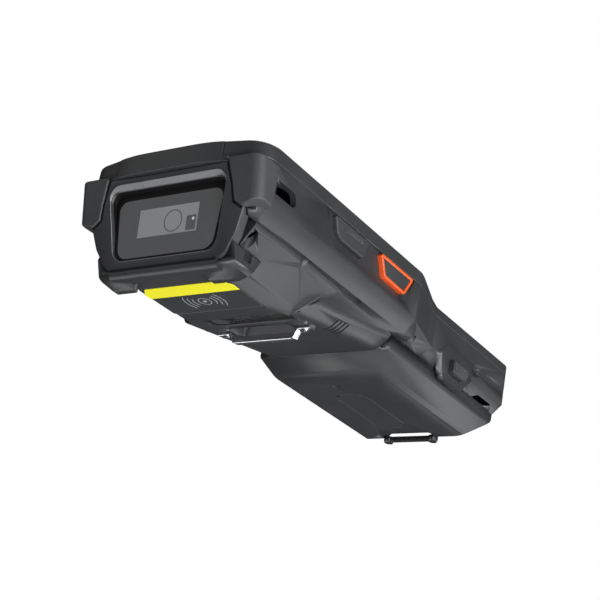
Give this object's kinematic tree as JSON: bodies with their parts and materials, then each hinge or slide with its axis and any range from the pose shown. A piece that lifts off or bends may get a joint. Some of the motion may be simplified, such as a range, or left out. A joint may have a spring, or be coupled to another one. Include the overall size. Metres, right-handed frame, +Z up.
{
  "type": "portable barcode data terminal",
  "caption": "Handheld data terminal with a scan window in its deep head, a narrower keypad handle, side scan keys, a strap loop and a hinged-out battery pack.",
  "frame": {"origin": "under the middle of the terminal, at the level of its two front feet, with the display facing up", "axes": "+X across to the terminal's right as it is held, +Y along it to the scan end, +Z up to the display"},
  "size_m": [0.0818, 0.2024, 0.046],
  "materials": {
    "moulded_shell": "fine spark texture",
    "textured_black": "fine texture",
    "smoked_window": "polished",
    "engine_black": "matt",
    "coated_lens": "coated",
    "yellow_film": "satin film",
    "gloss_black": "polished",
    "bright_steel": "plated",
    "dark_steel": "satin",
    "black_rubber": "matt",
    "circuit_board": "lacquered",
    "gold_contact": "plated",
    "cell_foil": "foil",
    "side_key_rubber": "satin",
    "orange_ring": "satin",
    "button_black": "ribbed",
    "keycap": "satin",
    "orange_key": "satin"
  },
  "bodies": {
    "root": {"rear_housing": "moulded_shell", "front_housing": "moulded_shell", "front_top_panel": "moulded_shell", "scan_bezel": "moulded_shell", "scan_window": "smoked_window", "scan_engine": "engine_black", "scan_lens": "coated_lens", "antenna_cover": "textured_black", "label_strip": "yellow_film", "camera_plate": "gloss_black", "camera_lens": "coated_lens", "camera_module": "engine_black", "strap_bracket": "bright_steel", "strap_screws": "bright_steel", "speaker": "engine_black", "housing_screws": "dark_steel", "housing_gasket": "black_rubber", "lanyard_posts": "dark_steel", "display_glass": "gloss_black", "display_module": "dark_steel", "main_board": "circuit_board", "keypad_mat": "black_rubber", "usb_socket": "bright_steel", "dock_contacts": "gold_contact", "battery_contacts": "gold_contact", "corner_bumper_left": "black_rubber", "corner_bumper_right": "black_rubber"},
    "port_cover": {"port_cover": "black_rubber"},
    "battery": {"battery_shell": "moulded_shell", "battery_cells": "cell_foil", "battery_pads": "gold_contact", "strap_bar": "dark_steel"},
    "function_key_left": {"function_key_left": "side_key_rubber"},
    "scan_key_left": {"scan_key_left": "side_key_rubber", "scan_key_ring_left": "orange_ring"},
    "release_button_left": {"release_button_left": "button_black"},
    "function_key_right": {"function_key_right": "side_key_rubber"},
    "scan_key_right": {"scan_key_right": "side_key_rubber", "scan_key_ring_right": "orange_ring"},
    "release_button_right": {"release_button_right": "button_black"},
    "key_1_1": {"key_1_1": "keycap"},
    "key_1_2": {"key_1_2": "orange_key"},
    "key_1_3": {"key_1_3": "keycap"},
    "key_2_1": {"key_2_1": "keycap"},
    "key_2_2": {"key_2_2": "keycap"},
    "key_2_3": {"key_2_3": "keycap"},
    "key_3_1": {"key_3_1": "keycap"},
    "key_3_2": {"key_3_2": "keycap"},
    "key_3_3": {"key_3_3": "keycap"},
    "key_4_1": {"key_4_1": "keycap"},
    "key_4_2": {"key_4_2": "keycap"},
    "key_4_3": {"key_4_3": "keycap"},
    "key_5_1": {"key_5_1": "keycap"},
    "key_5_2": {"key_5_2": "keycap"},
    "key_5_3": {"key_5_3": "keycap"}
  },
  "joints": [
    {"name": "battery_hinge", "type": "hinge", "parent": "root", "child": "battery", "pos_m": [0, -0.00835, 0.0144], "axis": [1, 0, 0], "range_deg": [0, 30]},
    {"name": "port_cover_hinge", "type": "hinge", "parent": "root", "child": "port_cover", "pos_m": [0, -0.1, 0.0255], "axis": [1, 0, 0], "range_deg": [0, 110]},
    {"name": "function_key_left_press", "type": "slide", "parent": "root", "child": "function_key_left", "axis": [1, 0, 0], "range_m": [0, 0.0009], "stiffness_N_per_m": 1500},
    {"name": "scan_key_left_press", "type": "slide", "parent": "root", "child": "scan_key_left", "axis": [1, 0, 0], "range_m": [0, 0.0009], "stiffness_N_per_m": 1500},
    {"name": "release_left_press", "type": "slide", "parent": "root", "child": "release_button_left", "axis": [1, 0, 0], "range_m": [0, 0.0022], "stiffness_N_per_m": 2000},
    {"name": "function_key_right_press", "type": "slide", "parent": "root", "child": "function_key_right", "axis": [-1, 0, 0], "range_m": [0, 0.0009], "stiffness_N_per_m": 1500},
    {"name": "scan_key_right_press", "type": "slide", "parent": "root", "child": "scan_key_right", "axis": [-1, 0, 0], "range_m": [0, 0.0009], "stiffness_N_per_m": 1500},
    {"name": "release_right_press", "type": "slide", "parent": "root", "child": "release_button_right", "axis": [-1, 0, 0], "range_m": [0, 0.0022], "stiffness_N_per_m": 2000},
    {"name": "key_1_1_press", "type": "slide", "parent": "root", "child": "key_1_1", "axis": [0, 0, -1], "range_m": [0, 0.0006], "stiffness_N_per_m": 1800},
    {"name": "key_1_2_press", "type": "slide", "parent": "root", "child": "key_1_2", "axis": [0, 0, -1], "range_m": [0, 0.0006], "stiffness_N_per_m": 1800},
    {"name": "key_1_3_press", "type": "slide", "parent": "root", "child": "key_1_3", "axis": [0, 0, -1], "range_m": [0, 0.0006], "stiffness_N_per_m": 1800},
    {"name": "key_2_1_press", "type": "slide", "parent": "root", "child": "key_2_1", "axis": [0, 0, -1], "range_m": [0, 0.0006], "stiffness_N_per_m": 1800},
    {"name": "key_2_2_press", "type": "slide", "parent": "root", "child": "key_2_2", "axis": [0, 0, -1], "range_m": [0, 0.0006], "stiffness_N_per_m": 1800},
    {"name": "key_2_3_press", "type": "slide", "parent": "root", "child": "key_2_3", "axis": [0, 0, -1], "range_m": [0, 0.0006], "stiffness_N_per_m": 1800},
    {"name": "key_3_1_press", "type": "slide", "parent": "root", "child": "key_3_1", "axis": [0, 0, -1], "range_m": [0, 0.0006], "stiffness_N_per_m": 1800},
    {"name": "key_3_2_press", "type": "slide", "parent": "root", "child": "key_3_2", "axis": [0, 0, -1], "range_m": [0, 0.0006], "stiffness_N_per_m": 1800},
    {"name": "key_3_3_press", "type": "slide", "parent": "root", "child": "key_3_3", "axis": [0, 0, -1], "range_m": [0, 0.0006], "stiffness_N_per_m": 1800},
    {"name": "key_4_1_press", "type": "slide", "parent": "root", "child": "key_4_1", "axis": [0, 0, -1], "range_m": [0, 0.0006], "stiffness_N_per_m": 1800},
    {"name": "key_4_2_press", "type": "slide", "parent": "root", "child": "key_4_2", "axis": [0, 0, -1], "range_m": [0, 0.0006], "stiffness_N_per_m": 1800},
    {"name": "key_4_3_press", "type": "slide", "parent": "root", "child": "key_4_3", "axis": [0, 0, -1], "range_m": [0, 0.0006], "stiffness_N_per_m": 1800},
    {"name": "key_5_1_press", "type": "slide", "parent": "root", "child": "key_5_1", "axis": [0, 0, -1], "range_m": [0, 0.0006], "stiffness_N_per_m": 1800},
    {"name": "key_5_2_press", "type": "slide", "parent": "root", "child": "key_5_2", "axis": [0, 0, -1], "range_m": [0, 0.0006], "stiffness_N_per_m": 1800},
    {"name": "key_5_3_press", "type": "slide", "parent": "root", "child": "key_5_3", "axis": [0, 0, -1], "range_m": [0, 0.0006], "stiffness_N_per_m": 1800}
  ]
}
